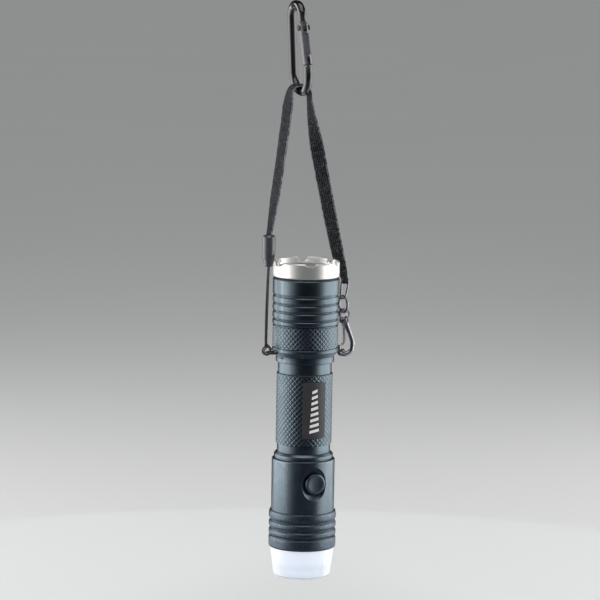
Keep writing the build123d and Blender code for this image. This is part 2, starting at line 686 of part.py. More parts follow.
os.makedirs("parts", exist_ok=True)
for name, solid in sub_parts().items():
    export_step(solid, f"parts/{name}.step")
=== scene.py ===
import json
from math import cos, degrees, pi, radians, sin, tan

import bpy
import numpy as np
from mathutils import Matrix, Vector


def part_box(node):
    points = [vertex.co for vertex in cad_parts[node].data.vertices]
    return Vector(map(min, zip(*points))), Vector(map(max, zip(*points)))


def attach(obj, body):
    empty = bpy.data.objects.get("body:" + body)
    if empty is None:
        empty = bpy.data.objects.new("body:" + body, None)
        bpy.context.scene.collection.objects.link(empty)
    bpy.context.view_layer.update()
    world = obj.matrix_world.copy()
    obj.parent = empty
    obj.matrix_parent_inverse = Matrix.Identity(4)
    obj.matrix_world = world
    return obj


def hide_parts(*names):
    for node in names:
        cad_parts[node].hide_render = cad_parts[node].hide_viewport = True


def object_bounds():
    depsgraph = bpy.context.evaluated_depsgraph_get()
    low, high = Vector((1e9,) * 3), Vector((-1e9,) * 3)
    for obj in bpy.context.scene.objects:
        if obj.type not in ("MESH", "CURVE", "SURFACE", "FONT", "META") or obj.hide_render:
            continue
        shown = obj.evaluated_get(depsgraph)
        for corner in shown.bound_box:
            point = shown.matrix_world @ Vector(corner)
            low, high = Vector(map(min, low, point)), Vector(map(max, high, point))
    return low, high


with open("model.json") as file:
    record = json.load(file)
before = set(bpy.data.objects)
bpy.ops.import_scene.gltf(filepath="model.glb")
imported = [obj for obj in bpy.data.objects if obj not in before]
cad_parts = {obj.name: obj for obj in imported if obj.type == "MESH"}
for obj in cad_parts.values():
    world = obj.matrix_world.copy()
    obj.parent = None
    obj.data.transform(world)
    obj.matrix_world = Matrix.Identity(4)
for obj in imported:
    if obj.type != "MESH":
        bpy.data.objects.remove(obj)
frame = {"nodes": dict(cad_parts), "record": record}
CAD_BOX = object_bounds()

MM = 0.001
RELIEF = "relief"  # point attribute of woven pieces: how high each point stands, from which the yarn finish paints painted highlights on the high points
TOUCH = 1e-6  # depths closer than this are the same row of a mesh

# Where things are, in millimetres, from the frame. Depths are measured down from the bezel's rim, and
# radii from the torch's axis.
BEZEL_LOW, BEZEL_HIGH = (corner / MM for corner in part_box("bezel_ring"))
AXIS_X = (BEZEL_LOW.x + BEZEL_HIGH.x) / 2
BEZEL_START = 0.05
RIM = BEZEL_HIGH.z + BEZEL_START


# ---------------------------------------------------------------- places and meshes

def level(depth):
    """Height of a point a given depth below the bezel's rim."""
    return RIM - depth


def spoke(turn):
    """Unit vector out from the torch's axis, turned to the right of the front."""
    return Vector((sin(radians(turn)), -cos(radians(turn)), 0))


def on_spoke(turn, distance, depth):
    """Point at a distance from the torch's axis, along a spoke."""
    return Vector((AXIS_X, 0, level(depth))) + spoke(turn) * distance


def extent(node):
    """Outer radius, top depth and end depth of a CAD node that is turned about the torch's axis."""
    low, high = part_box(node)
    return high.x / MM - AXIS_X, RIM - high.z / MM, RIM - low.z / MM


def metres(points):
    return [tuple(Vector(point) * MM) for point in points]


def mesh_object(name, points, faces, crease=35.0):
    """Object from points in millimetres, smooth but for edges sharper than crease degrees."""
    mesh = bpy.data.meshes.new(name)
    mesh.from_pydata(metres(points), [], faces)
    mesh.validate()
    mesh.update()
    mesh.polygons.foreach_set("use_smooth", [True] * len(mesh.polygons))
    mesh.set_sharp_from_angle(angle=radians(crease))
    thing = bpy.data.objects.new(name, mesh)
    bpy.context.scene.collection.objects.link(thing)
    return thing


def softened(outline, steps=4, closed=True, most=0.48):
    """Outline of (x, y) or (x, y, fillet) corners, with the fillets as short arcs. A fillet takes up at
    most that share of each edge beside it."""
    rounded = []
    count = len(outline)
    for index, corner in enumerate(outline):
        here = Vector(corner[:2])
        fillet = corner[2] if len(corner) > 2 else 0
        if not fillet or not closed and index in (0, count - 1):
            rounded.append(tuple(here))
            continue
        back = Vector(outline[index - 1][:2]) - here
        ahead = Vector(outline[(index + 1) % count][:2]) - here
        half = back.angle(ahead) / 2
        reach = min(fillet / tan(half), most * back.length, most * ahead.length)
        radius = reach * tan(half)
        centre = here + (back.normalized() + ahead.normalized()).normalized() * (radius / sin(half))
        first = here + back.normalized() * reach - centre
        last = here + ahead.normalized() * reach - centre
        for step in range(steps + 1):
            rounded.append(tuple(centre + first.lerp(last, step / steps).normalized() * radius))
    return rounded


def turned(name, outline, columns=192, relief=None, crease=35.0, uneven=1e-4):
    """Solid of revolution from a closed outline of (radius, depth). relief(radius, depth, angle) gives
    a surface point's new radius and depth, and a face is split along its ridge where its diagonals'
    radii are uneven. columns is a number, or the angles themselves in radians."""
    if isinstance(columns, int):
        angles = [2 * pi * step / columns for step in range(columns)]
    else:
        angles = columns
    wide, rows = len(angles), len(outline)
    points, radii = [], []
    for radius, depth in outline:
        for angle in angles:
            r, d = relief(radius, depth, angle) if relief else (radius, depth)
            points.append((AXIS_X + r * sin(angle), -r * cos(angle), level(d)))
            radii.append(r)
    faces = []
    for row in range(rows):
        below = (row + 1) % rows
        for column in range(wide):
            beside = (column + 1) % wide
            a, b = row * wide + column, row * wide + beside
            c, d = below * wide + beside, below * wide + column
            fold = radii[a] + radii[c] - radii[b] - radii[d] if relief else 0.0
            if fold < -uneven:
                faces += [(a, b, c), (a, c, d)]
            elif fold > uneven:
                faces += [(a, b, d), (b, c, d)]
            else:
                faces.append((a, b, c, d))
    return mesh_object(name, points, faces, crease)


def keep_relief(thing, values):
    """Stores how high each point of a woven piece stands, from 0 in a crevice to 1 on a crest."""
    layer = thing.data.attributes.new(RELIEF, "FLOAT", "POINT")
    layer.data.foreach_set("value", values)
    return thing


def swept(name, rings, crease=35.0, closed=False):
    """Object from a list of rings of points, each joined to the next. It has flat ends, or if closed, its
    last ring joins its first."""
    size = len(rings[0])
    points = [point for ring in rings for point in ring]
    faces = []
    for ring in range(len(rings) - (0 if closed else 1)):
        ahead = (ring + 1) % len(rings)
        for index in range(size):
            beside = (index + 1) % size
            faces.append((ring * size + index, ahead * size + index,
                          ahead * size + beside, ring * size + beside))
    if not closed:
        last = (len(rings) - 1) * size
        faces.append(tuple(range(size)))
        faces.append(tuple(last + index for index in reversed(range(size))))
    return mesh_object(name, points, faces, crease)


def joined(name, things, crease=40.0, flat=0.5):
    """One object from several meshes, with their relief, or flat where a mesh has none."""
    points, faces, heights = [], [], []
    for thing in things:
        start = len(points)
        points += [vertex.co / MM for vertex in thing.data.vertices]
        faces += [tuple(start + index for index in face.vertices) for face in thing.data.polygons]
        layer = thing.data.attributes.get(RELIEF)
        heights += [item.value for item in layer.data] if layer else [flat] * len(thing.data.vertices)
        bpy.data.meshes.remove(thing.data)
    return keep_relief(mesh_object(name, points, faces, crease), heights)


def route_line(points, resolution=24):
    """Points, in millimetres, along the smooth line of a route given in metres."""
    curve = bpy.data.curves.new("route", "CURVE")
    curve.dimensions = "3D"
    curve.resolution_u = resolution
    spline = curve.splines.new("NURBS")
    spline.points.add(len(points) - 1)
    for point, place in zip(spline.points, points):
        point.co = (*place, 1)
    spline.order_u = 3
    spline.use_endpoint_u = True
    thing = bpy.data.objects.new("route", curve)
    mesh = bpy.data.meshes.new_from_object(thing)
    line = [vertex.co.copy() / MM for vertex in mesh.vertices]
    bpy.data.objects.remove(thing)
    bpy.data.meshes.remove(mesh)
    bpy.data.curves.remove(curve)
    return line


def evenly(line, spacing):
    """The same line with its points a fixed distance apart, its tangents and the distances along it."""
    lengths = np.cumsum([0.0] + [(after - before).length for before, after in zip(line, line[1:])])
    wanted = np.linspace(0, lengths[-1], max(3, round(lengths[-1] / spacing) + 1))
    even = np.stack([np.interp(wanted, lengths, [point[axis] for point in line]) for axis in range(3)], 1)
    tangents = np.gradient(even, axis=0)
    tangents /= np.linalg.norm(tangents, axis=1)[:, None]
    return even, tangents, wanted


def bar(name, line, radius, sides=6, spacing=0.15, crease=60.0):
    """Thin round bar along a line of millimetre points."""
    even, tangents, _ = evenly(line, spacing)
    normal = Vector(tangents[0]).orthogonal().normalized()
    rings = []
    for place, tangent in zip(even, tangents):
        tangent = Vector(tangent)
        normal = (normal - tangent * normal.dot(tangent)).normalized()
        side = tangent.cross(normal)
        rings.append([Vector(place) + (normal * cos(turn) + side * sin(turn)) * radius
                      for turn in (2 * pi * step / sides for step in range(sides))])
    return swept(name, rings, crease)


# ---------------------------------------------------------------- materials

class Finish:
    """A material with one Principled shader and small node chains on its sockets."""

    def __init__(self, name, colour, roughness=0.5, **fixed):
        self.material = bpy.data.materials.new(name)
        self.material.use_nodes = True
        self.tree = self.material.node_tree
        self.shader = next(node for node in self.tree.nodes if node.type == "BSDF_PRINCIPLED")
        self.roughness = roughness
        self.shader.inputs["Base Color"].default_value = (*colour, 1)
        self.shader.inputs["Roughness"].default_value = roughness
        for key, value in fixed.items():
            self.shader.inputs[key.replace("_", " ")].default_value = value
        self.place = self.node("ShaderNodeTexCoord").outputs["Object"]
        self.normal = None

    def node(self, kind, **settings):
        made = self.tree.nodes.new(kind)
        for key, value in settings.items():
            setattr(made, key, value)
        return made

    def link(self, source, target):
        self.tree.links.new(source, target)

    def noise(self, scale, detail=2.0, stretch=(1, 1, 1)):
        """Noise with features about 1/scale metres across, closer together along an axis by stretch."""
        mapping = self.node("ShaderNodeMapping")
        mapping.inputs["Scale"].default_value = [scale * share for share in stretch]
        self.link(self.place, mapping.inputs["Vector"])
        noise = self.node("ShaderNodeTexNoise")
        noise.inputs["Scale"].default_value = 1.0
        noise.inputs["Detail"].default_value = detail
        self.link(mapping.outputs["Vector"], noise.inputs["Vector"])
        return noise.outputs["Fac"]

    def ramp(self, value, low, high, start=0.0, end=1.0):
        """Value mapped smoothly so that start..end becomes low..high."""
        mapped = self.node("ShaderNodeMapRange", interpolation_type="SMOOTHSTEP")
        for key, number in (("From Min", start), ("From Max", end), ("To Min", low), ("To Max", high)):
            mapped.inputs[key].default_value = number
        self.link(value, mapped.inputs["Value"])
        return mapped.outputs["Result"]

    def math(self, operation, first, second):
        made = self.node("ShaderNodeMath", operation=operation)
        for socket, value in zip(made.inputs, (first, second)):
            if isinstance(value, (int, float)):
                socket.default_value = value
            else:
                self.link(value, socket)
        return made.outputs["Value"]

    def tint(self, amount, colour, socket="Base Color"):
        """Mixes a socket's colour towards another, by an amount that varies over the surface."""
        mix = self.node("ShaderNodeMix", data_type="RGBA")
        factor = mix.inputs[0]
        first, second, mixed = mix.inputs[6], mix.inputs[7], mix.outputs[2]  # those that hold colours
        base = self.shader.inputs[socket]
        if base.is_linked:
            self.link(base.links[0].from_socket, first)
        else:
            first.default_value = base.default_value
        second.default_value = (*colour, 1)
        self.link(amount, factor)
        self.link(mixed, base)
        return self

    def patches(self, colour, scale, detail, low, high, start, end):
        """Tints patches of noise towards a colour, as the noise's start..end becomes low..high."""
        return self.tint(self.ramp(self.noise(scale, detail), low, high, start, end), colour)

    def vary_roughness(self, value, spread):
        """Roughness that wanders by spread each way."""
        mapped = self.ramp(value, self.roughness - spread, self.roughness + spread, 0.25, 0.75)
        self.link(mapped, self.shader.inputs["Roughness"])
        return self

    def bump(self, value, depth, strength=1.0):
        """Raises the surface by depth metres where value is 1."""
        bump = self.node("ShaderNodeBump")
        bump.inputs["Distance"].default_value = depth
        bump.inputs["Strength"].default_value = strength
        self.link(value, bump.inputs["Height"])
        if self.normal:
            self.link(self.normal, bump.inputs["Normal"])
        self.normal = bump.outputs["Normal"]
        self.link(self.normal, self.shader.inputs["Normal"])
        return self

    def edges(self, colour, amount=0.5, low=0.52, high=0.62):
        """Wear along convex edges, broken up by noise."""
        geometry = self.node("ShaderNodeNewGeometry")
        worn = self.ramp(geometry.outputs["Pointiness"], 0.0, amount, low, high)
        patchy = self.ramp(self.noise(900, 3), 0.4, 1.0, 0.35, 0.6)
        return self.tint(self.math("MULTIPLY", worn, patchy), colour)


def shade(colour, share, lift=0.0):
    """A lighter or darker version of a colour."""
    return [min(1.0, part * share + lift) for part in colour]


def anodised(name, colour, roughness, grain=1.0, glint_specks=0.0):
    """Bead-blasted hard anodising: fine grain, faint clouding, pale edges, and if asked for, pale
    speckles that are painted glints of the grain.
    """
    finish = Finish(name, colour, roughness, Metallic=0.98)
    # Pale speckles: painted glints, standing in for light catching the bead-blasted grain
    if glint_specks:
        finish.patches(shade(colour, 2.4), 1500, 2, 0.0, glint_specks, 0.54, 0.66)
    finish.patches(shade(colour, 1.22), 140, 4, 0.0, 0.5, 0.45, 0.75)
    finish.patches(shade(colour, 0.82), 60, 3, 0.5, 0.0, 0.25, 0.5)
    finish.edges((0.30, 0.34, 0.38))
    finish.vary_roughness(finish.noise(220, 4), 0.035)
    return finish.bump(finish.noise(9000, 2), 0.000012 * grain, 0.35)


def turned_metal(name, colour, roughness, metallic=1.0):
    """Lathe-turned bright metal, with fine marks round the axis."""
    finish = Finish(name, colour, roughness, Metallic=metallic)
    marks = finish.noise(6500, 2, (0.02, 0.02, 1.0))
    finish.patches(shade(colour, 0.8), 80, 3, 0.0, 0.4, 0.4, 0.8)
    finish.vary_roughness(marks, 0.05)
    return finish.bump(marks, 0.000006, 0.4)


def plastic(name, colour, roughness, coat=0.0, grain=2500, depth=0.000008, **fixed):
    """Moulded plastic or rubber with a fine texture."""
    finish = Finish(name, colour, roughness, Coat_Weight=coat, **fixed)
    finish.patches(shade(colour, 1.35, 0.004), 160, 3, 0.0, 0.5, 0.4, 0.8)
    finish.vary_roughness(finish.noise(400, 3), 0.04)
    return finish.bump(finish.noise(grain, 2), depth, 0.5)


def lacquer(name, colour, roughness):
    """Gloss paint with a faint orange peel and worn edges."""
    finish = Finish(name, colour, roughness, Coat_Weight=0.7, Coat_Roughness=0.08)
    finish.edges((0.16, 0.16, 0.17))
    finish.vary_roughness(finish.noise(500, 3), 0.04)
    return finish.bump(finish.noise(1400, 2), 0.00001, 0.4)


def dark_metal(name, colour, roughness):
    """Black-nickel or steel small parts with slight smears and worn edges."""
    finish = Finish(name, colour, roughness, Metallic=1.0)
    finish.patches(shade(colour, 1.5), 500, 4, 0.0, 0.6, 0.4, 0.7)
    finish.edges(shade(colour, 2.4, 0.05))
    finish.vary_roughness(finish.noise(900, 3), 0.06)
    return finish.bump(finish.noise(3000, 2), 0.000008, 0.3)


def yarn(name, colour, light, fibre=2600):
    """Woven or braided polyester in its dark colour: pale yarn crests as painted highlights, pale flecks
    as painted glints, fibre bump, low gloss.
    """
    finish = Finish(name, colour, 0.55, Specular_IOR_Level=0.22)
    relief = finish.node("ShaderNodeAttribute", attribute_name=RELIEF).outputs["Fac"]
    # Painted highlights: the crests, and the webbing's edges, are tinted pale from the relief attribute
    crest = finish.ramp(relief, 0.0, 1.0, 0.6, 1.0)
    patchy = finish.ramp(finish.noise(700, 3), 0.1, 1.0, 0.38, 0.62)
    finish.tint(finish.math("MULTIPLY", crest, patchy), light)
    # Painted glints: pale flecks scattered by noise
    finish.patches(light, 1900, 3, 0.0, 0.7, 0.56, 0.68)
    finish.vary_roughness(finish.noise(800, 3), 0.08)
    finish.bump(finish.noise(fibre, 3, (1, 1, 0.35)), 0.00006, 0.6)
    return finish.bump(finish.noise(fibre * 3, 2), 0.00002, 0.5)


def clear_lens():
    """Clear acrylic with a faint cold cast."""
    finish = Finish("lens_glass", (0.97, 0.99, 1.0), 0.03, Transmission_Weight=1.0, IOR=1.49)
    finish.patches((0.93, 0.97, 1.0), 90, 2, 0.0, 0.3, 0.4, 0.7)
    finish.vary_roughness(finish.noise(300, 4), 0.015)
    return finish.bump(finish.noise(150, 2), 0.000004, 0.2)


def glowing_diffuser():
    """Frosted cup lit from inside: bluish white, a little translucent, with painted shade as a darker
    band along the groove round its foot, and a faint painted shadow all round where the light board
    stands behind it."""
    finish = Finish("diffuser_white", (0.72, 0.74, 0.78), 0.45, Transmission_Weight=0.5, IOR=1.3,
                    Coat_Weight=0.12, Coat_Roughness=0.2, Emission_Strength=0.25)
    finish.shader.inputs["Emission Color"].default_value = (0.80, 0.88, 1.0, 1)
    cloudy = finish.ramp(finish.noise(70, 2), 0.0, 0.6, 0.35, 0.65)
    finish.tint(cloudy, (0.84, 0.89, 0.97), "Emission Color")
    apart = finish.node("ShaderNodeSeparateXYZ")
    finish.link(finish.place, apart.inputs[0])
    end = extent("diffuser")[2]
    # Painted shade: two darker bands all round, on both the colour and the glow, one in the groove at the
    # foot and one a faint painted shadow of the light board inside
    foot_groove_shade, board = (end - 0.8, 0.12, 0.3, 0.75), (end - 6.0, 0.3, 2.6, 0.16)
    for depth, half, soft, amount in (foot_groove_shade, board):
        away = finish.math("SUBTRACT", apart.outputs["Z"], level(depth) * MM)
        away = finish.math("ABSOLUTE", away, 0)
        band = finish.ramp(away, amount, 0.0, half * MM, (half + soft) * MM)
        finish.tint(band, (0.42, 0.45, 0.50))
        finish.tint(band, (0.25, 0.28, 0.33), "Emission Color")
    finish.vary_roughness(finish.noise(350, 3), 0.05)
    return finish.bump(finish.noise(5000, 2), 0.000008, 0.4)


def lit_led(name, colour, strength):
    """Small white LED, lit."""
    finish = Finish(name, colour, 0.3, Emission_Strength=strength)
    finish.shader.inputs["Emission Color"].default_value = (*colour, 1)
    finish.vary_roughness(finish.noise(700, 2), 0.08)
    return finish.bump(finish.noise(3000, 2), 0.00001, 0.3)


FINISHES = {
    "anodised": anodised("anodised_slate", (0.120, 0.152, 0.173), 0.36),
    "bezel_steel": turned_metal("bezel_steel", (0.90, 0.885, 0.85), 0.42, metallic=0.82),
    "seal_rubber": plastic("seal_rubber", (0.014, 0.014, 0.015), 0.75, depth=0.00002),
    "lens_glass": clear_lens(),
    "nameplate": plastic("nameplate_black", (0.034, 0.031, 0.036), 0.55, coat=0.05),
    "brass": turned_metal("brass", (0.78, 0.58, 0.28), 0.3),
    "board_white": plastic("board_white", (0.80, 0.81, 0.80), 0.5, coat=0.3),
    "board_green": plastic("board_green", (0.03, 0.16, 0.07), 0.4, coat=0.4),
    "led_yellow": plastic("led_yellow", (0.72, 0.66, 0.30), 0.3, coat=0.4),
    "led_white": lit_led("led_white", (0.92, 0.96, 1.0), 1.2),
    "spring_steel": dark_metal("spring_steel", (0.55, 0.54, 0.52), 0.25),
    "cell_wrap": plastic("cell_wrap", (0.05, 0.16, 0.38), 0.3, coat=0.4),
    "sleeve_plastic": plastic("sleeve_plastic", (0.7, 0.71, 0.71), 0.45),
    "button_metal": anodised("button_metal", (0.135, 0.165, 0.190), 0.33),
    "switch_black": plastic("switch_black", (0.02, 0.02, 0.02), 0.5),
    "screw_steel": dark_metal("screw_steel", (0.5, 0.5, 0.5), 0.3),
    "wire_red": plastic("wire_red", (0.45, 0.02, 0.02), 0.4),
    # The collar's pale speckles are painted glints
    "collar_grip": anodised("collar_grip", (0.110, 0.136, 0.160), 0.44, grain=6.0, glint_specks=0.6),
    "diffuser_white": glowing_diffuser(),
    "carabiner_black": lacquer("carabiner_black", (0.010, 0.010, 0.012), 0.22),
    "gate_grey": lacquer("gate_grey", (0.055, 0.054, 0.066), 0.4),
    "strap_webbing": yarn("strap_webbing", (0.009, 0.009, 0.012), (0.20, 0.21, 0.235)),
    "cord_black": yarn("cord_black", (0.050, 0.048, 0.056), (0.19, 0.185, 0.21), 4200),
    "ferrule_black": plastic("ferrule_black", (0.045, 0.047, 0.055), 0.3, coat=0.6, grain=900),
    "hook_dark": dark_metal("hook_dark", (0.34, 0.34, 0.36), 0.42),
    "eyelet_black": lacquer("eyelet_black", (0.018, 0.018, 0.019), 0.3),
}
PRINT = plastic("print_white", (0.72, 0.71, 0.70), 0.5)


def dress(piece, slot):
    """Gives a piece the finish of a material slot."""
    piece.data.materials.clear()
    piece.data.materials.append(FINISHES[slot].material)
    return piece


def fit(piece, slot, body, *replaced):
    """Dresses a new piece, puts it on its body and hides the CAD nodes that it stands for."""
    dress(piece, slot)
    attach(piece, body)
    if replaced:
        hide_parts(*replaced)
    return piece


for part in frame["record"]["subparts"]:
    dress(frame["nodes"][part["node"]], part["material_slot"])


# ---------------------------------------------------------------- bezel, head and grip

KNURL_HEIGHT = 0.15
KNURL_STEEPNESS = 3.0
FACETS = 10  # mesh columns and rows for each diamond
LABEL_TURN = 22.0  # degrees to the right of the front
LABEL_HALF = 25.0  # half of the degrees that the nameplate covers
PLATE_PROUD = 0.05


def crown_notches(count=6, first=7.3, mouth=5.5, floor=1.9, deep=2.05, at_radius=16.0, shore=1.4,
                  between=9):
    """Angles for the bezel's columns, and the depth to which each is cut down. A notch has a shore of
    its own on each side, and the rim between two shores is divided evenly."""
    profile = softened([(-mouth / 2 - shore, 0), (-mouth / 2, 0, 0.3), (-floor / 2, deep, 0.2),
                        (floor / 2, deep, 0.2), (mouth / 2, 0, 0.3), (mouth / 2 + shore, 0)],
                       3, closed=False)
    gap = 2 * pi / count
    angles, cuts = [], []
    for index in range(count):
        middle = radians(first) + index * gap
        for across, cut in profile:
            angles.append(middle + across / at_radius)
            cuts.append(cut)
        start, end = angles[-1], middle + gap + profile[0][0] / at_radius
        for step in range(1, between):
            angles.append(start + (end - start) * step / between)
            cuts.append(0.0)
    return angles, cuts


def bezel():
    """Strike bezel: flared mouth, rounded rim, six crown notches, slightly crowned wall."""
    radius, top, end = extent("bezel_ring")
    seal_top, seal_end = extent("bezel_seal")[1:]
    wall = seal_top + 0.35
    mouth, lip, throat, skirt = radius - 1.4, radius - 2.6, radius - 3.8, radius - 1.5
    cone_top, cone_height, cone_rows = top + 0.45, 2.4, 12
    shelf, shelf_radius = top + 5.0, lip + 0.7
    angles, cuts = crown_notches()
    cone = [(mouth - (mouth - lip) * row / cone_rows, cone_top + cone_height * row / cone_rows)
            for row in range(1, cone_rows + 1)]
    recess = [(throat, end), (throat, shelf + 0.1, 0.15), (shelf_radius, shelf, 0.1),
              (shelf_radius, top + 3.3, 0.1)]
    outline = softened(recess + cone[::-1] + [
        (mouth, top + 0.35, 0.2), (mouth + 0.35, top, 0.2),
        (radius - 0.5, top, 0.4), (radius - 0.02, top + 0.8, 0.6), (radius, wall - 2.2, 2.0),
        (radius - 0.04, wall - 0.5, 0.35), (radius - 0.45, wall, 0.2), (radius - 1.0, wall),
        (radius - 1.0, seal_end), (skirt, seal_end), (skirt, end)])
    lookup = dict(zip(angles, cuts))
    ring = turned("bezel_crown", outline, angles, lambda r, d, a: (r, max(d, top + lookup[a])), 32.0)
    return fit(ring, "bezel_steel", "head", "bezel_ring")


def seal_ring():
    """Rubber ring under the bezel, its edge rounded."""
    radius, top, end = extent("bezel_seal")
    outline = softened([(radius - 0.5, top), (radius, top, 0.3), (radius, end, 0.3), (radius - 0.5, end)])
    return fit(turned("bezel_seal_ring", outline), "seal_rubber", "head", "bezel_seal")


def diamonds(top, end, count, pitch, window=None):
    """Relief of a diamond knurl with flat tops between narrow grooves, from a top depth to an end depth.
    Where window(depth, angle) is true it is cut back to the grooves' floor."""
    def relief(radius, depth, angle):
        if not top - TOUCH <= depth < end + TOUCH:
            return radius, depth
        if window and window(depth, angle):
            return radius - KNURL_HEIGHT, depth
        around, along = angle * count / (2 * pi), (depth - top) / pitch
        height = min(1 - abs(2 * (phase % 1.0) - 1) for phase in (around + along, around - along))
        return radius - KNURL_HEIGHT * (1 - min(1.0, KNURL_STEEPNESS * height)), depth
    return relief


def knurled(name, above, radius, top, repeats, pitch, count, below, window=None):
    """Turned body whose outline has a knurled band between two runs of plain outline, above and below.
    count diamonds stand round it, and repeats of them down it."""
    end = top + repeats * pitch
    relief = diamonds(top, end, count, pitch, window)
    rows = repeats * FACETS
    band = [(radius, top + (end - top) * row / rows) for row in range(rows + 1)]
    outline = softened(above, closed=False) + band + softened(below, closed=False)
    return turned(name, outline, count * FACETS, relief, 28.0)


def rib(start, end, radius, sag=0.5, points=13, fullness=3.5):
    """Outline of one rounded rib between two depths, fullest in the middle."""
    shares = [index / (points - 1) for index in range(points)]
    return [(radius - sag * abs(2 * share - 1) ** fullness, start + (end - start) * share)
            for share in shares]


def head():
    """Head: plain band, four ribs between narrow grooves, knurled band, rim, taper and rear ring."""
    radius, top, end = extent("head_shell")
    bore, seat, groove, rear = radius - 2.4, radius - 1.45, radius - 0.75, radius - 2.0
    knurl_radius, knurl_top, pitch, repeats, around = radius - 0.28, 33.15, 2.68, 4, 38
    knurl_end = knurl_top + repeats * pitch
    fine_groove, gland = rear - 0.4, rear - 1.15
    above = [(bore, top + 8.4), (seat, top + 8.4), (seat, top), (radius - 0.5, top, 0.1),
             (radius, top + 0.5, 0.2), (radius, 16.2, 0.9), (radius - 0.4, 17.3)]
    middles, last_rib_end = (17.5, 21.6, 25.6, 29.7), 32.75
    for middle, ahead in zip(middles, middles[1:] + (last_rib_end,)):
        above += [(groove, middle - 0.14, 0.05), (groove, middle + 0.14, 0.05)]
        above += rib(middle + 0.2, ahead - 0.2, radius)
    above += [(groove, 32.65, 0.05), (groove, 32.95, 0.05), (radius - 0.5, knurl_top)]
    below = [(groove, knurl_end + 0.08), (groove, knurl_end + 0.3, 0.1),
             (radius - 0.35, knurl_end + 0.5, 0.15), (radius, knurl_end + 1.2, 0.4),
             (radius, 46.1, 0.8), (rear - 0.1, 48.7, 0.2), (fine_groove, 48.8, 0.05),
             (fine_groove, 48.95, 0.05), (rear, 49.75, 0.25), (rear, end, 0.45), (gland, end),
             (gland, end - 5.3), (bore, end - 5.3)]
    shell = knurled("head_knurled", above, knurl_radius, knurl_top, repeats, pitch, around, below)
    return fit(shell, "anodised", "head", "head_shell")


def grip():
    """Grip: smooth neck, knurled middle with a flat window for the nameplate, smooth foot."""
    radius, top, end = extent("grip_tube")
    plate_top, plate_end = extent("label_plate")[1:]
    neck, foot, bore = radius - 0.5, radius - 0.6, radius - 2.3
    oring_groove, snap_groove, counterbore, cell_bore = neck - 0.76, neck - 0.5, bore + 0.35, bore - 0.75
    cell_top, cell_end = 34.5, 90.2
    knurl_top, pitch, repeats, around = 57.75, 2.78, 13, 32
    knurl_end = knurl_top + repeats * pitch
    wider, longer = 0.3, 0.2

    def window(depth, angle):
        turn = (angle - radians(LABEL_TURN) + pi) % (2 * pi) - pi
        return (abs(turn) < radians(LABEL_HALF + wider)
                and plate_top - longer < depth < plate_end + longer)

    above = [(bore, top), (neck, top, 0.3), (neck, 40.2), (oring_groove, 40.2), (oring_groove, 41.8),
             (neck, 41.8), (neck, 45.4), (snap_groove, 45.4), (snap_groove, 46.6), (neck, 46.6),
             (neck, 57.2, 0.15), (neck - 0.1, 57.45, 0.1), (radius - 0.3, 57.7)]
    below = [(radius - 0.3, knurl_end + 0.08), (foot - 0.12, knurl_end + 0.35, 0.1),
             (foot, knurl_end + 0.6, 0.15), (foot, end, 0.2), (counterbore, end),
             (counterbore, cell_end), (cell_bore, cell_end), (cell_bore, cell_top), (bore, cell_top)]
    tube = knurled("grip_knurled", above, radius, knurl_top, repeats, pitch, around, below, window)
    return fit(tube, "anodised", "grip", "grip_tube")


def nameplate():
    """Black plate let into the knurling, with rounded corners and chamfered edges."""
    radius = extent("grip_tube")[0]
    top, end = extent("label_plate")[1:]
    outer, inner = radius + PLATE_PROUD, radius - 0.55
    corner, chamfer, overlap, strips = 1.4, 0.14, 0.1, 24
    half = radians(LABEL_HALF + 0.6) * outer
    across = [-half, -half + 0.12, -half + 0.4, -half + 0.8, -half + corner]
    mirrored = across[::-1]
    across += [(-half + corner) + (2 * (half - corner)) * step / strips for step in range(1, strips)]
    across += [-place for place in mirrored]
    rings = []
    for place in across:
        turn = LABEL_TURN + degrees(place / outer)
        inset = max(0.0, abs(place) - (half - corner))
        cut = corner - (corner ** 2 - inset ** 2) ** 0.5 if inset < corner else corner
        face = outer - (chamfer if abs(place) > half - 0.05 else 0.0)
        high, low = top - overlap + cut, end + overlap - cut
        rings.append([on_spoke(turn, r, depth) for r, depth in (
            (inner, high), (face - chamfer, high), (face, high + chamfer), (face, (high + low) / 2),
            (face, low - chamfer), (face - chamfer, low), (inner, low))])
    return fit(swept("nameplate", rings, 30.0), "nameplate", "grip", "label_plate")


def plate_mark():
    """Printed mark on the nameplate: a generic column of slanted bars that grow shorter upward."""
    outer, end = extent("grip_tube")[0] + PLATE_PROUD, extent("label_plate")[2]
    bars, start, pitch, thick, slant, ink = 8, end - 2.7, 2.9, 1.45, 1.1, 0.03
    longest, shorter, strips = 2.6, 0.17, 8
    points, faces = [], []
    for index in range(bars):
        foot = start - index * pitch
        half = longest - shorter * index
        base = len(points)
        for step in range(strips + 1):
            across = -half + 2 * half * step / strips
            lean = slant * step / strips
            turn = LABEL_TURN + degrees(across / outer)
            for depth in (foot - lean, foot - lean - thick):
                for lift in (0.0, ink):
                    points.append(on_spoke(turn, outer + lift, depth))
        for step in range(strips):
            a, b = base + 4 * step, base + 4 * step + 4
            faces += [(a + 1, b + 1, b + 3, a + 3), (a, b, b + 1, a + 1), (a + 2, a + 3, b + 3, b + 2)]
        last = base + 4 * strips
        faces += [(base, base + 1, base + 3, base + 2), (last, last + 2, last + 3, last + 1)]
    mark = fit(mesh_object("plate_mark", points, faces), "nameplate", "grip")
    mark.data.materials[0] = PRINT.material
    return mark


bezel()
seal_ring()
head()
grip()
nameplate()
plate_mark()


# ---------------------------------------------------------------- tail

